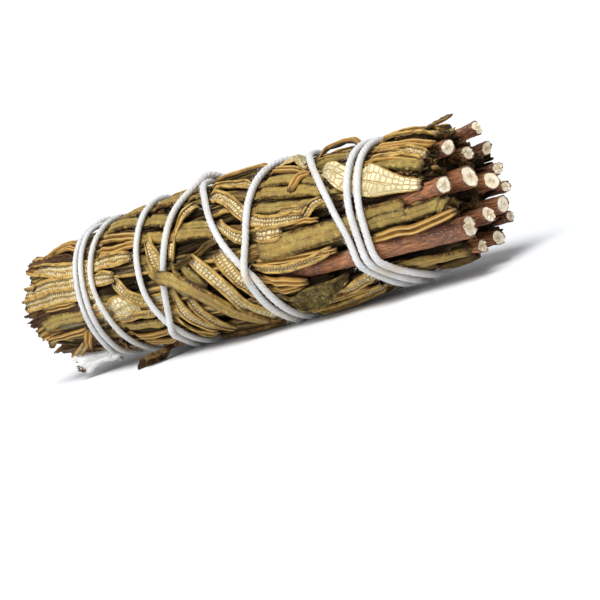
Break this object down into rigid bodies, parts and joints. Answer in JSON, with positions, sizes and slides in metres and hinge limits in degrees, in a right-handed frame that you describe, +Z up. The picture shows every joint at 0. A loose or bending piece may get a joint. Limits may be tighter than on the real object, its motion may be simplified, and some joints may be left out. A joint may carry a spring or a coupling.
{
  "type": "dried herb smudge stick",
  "caption": "Bundle of dried leafy sprigs laid side by side, cut square at both ends and bound with cotton twine, lying on its side.",
  "frame": {"origin": "middle of the underside, on the surface that the stick lies on", "axes": "+X along the stick towards the cut stems, +Z up, -Y the side that the picture shows"},
  "size_m": [0.1074, 0.0336, 0.0319],
  "materials": {
    "leaf_upper": "dry leathery olive-brown leaf, fine ribs, slight gloss",
    "leaf_underside": "pale net-veined leaf underside with golden rolled edges, matt",
    "bark": "reddish-brown bark with pale spots, cream cut ends",
    "cotton": "soft white three-ply cotton twine, matt and slightly fuzzy"
  },
  "bodies": {
    "root": {"loose_leaf": "leaf_upper", "pale_leaf_01": "leaf_underside", "pale_leaf_02": "leaf_underside", "pale_leaf_03": "leaf_underside", "pale_leaf_04": "leaf_underside", "pale_leaf_05": "leaf_underside", "pale_leaf_06": "leaf_underside", "pale_leaf_07": "leaf_underside", "pale_leaf_08": "leaf_underside", "pale_leaf_09": "leaf_underside", "pale_leaf_10": "leaf_underside", "pale_leaf_11": "leaf_underside", "pale_leaf_12": "leaf_underside", "pale_leaf_13": "leaf_underside", "pale_leaf_14": "leaf_underside", "pale_leaf_15": "leaf_underside", "pale_leaf_16": "leaf_underside", "pale_leaf_17": "leaf_underside", "pale_leaf_18": "leaf_underside", "pale_leaf_19": "leaf_underside", "pale_leaf_20": "leaf_underside", "pale_leaf_21": "leaf_underside", "pale_leaf_22": "leaf_underside", "pale_leaf_23": "leaf_underside", "pale_leaf_24": "leaf_underside", "packed_leaves": "leaf_upper", "stem_01": "bark", "stem_02": "bark", "stem_03": "bark", "stem_04": "bark", "stem_05": "bark", "stem_06": "bark", "stem_07": "bark", "stem_08": "bark", "stem_09": "bark", "stem_10": "bark", "stem_11": "bark", "stem_12": "bark", "stem_13": "bark", "stem_14": "bark", "stem_15": "bark", "twine": "cotton"}
  },
  "joints": []
}
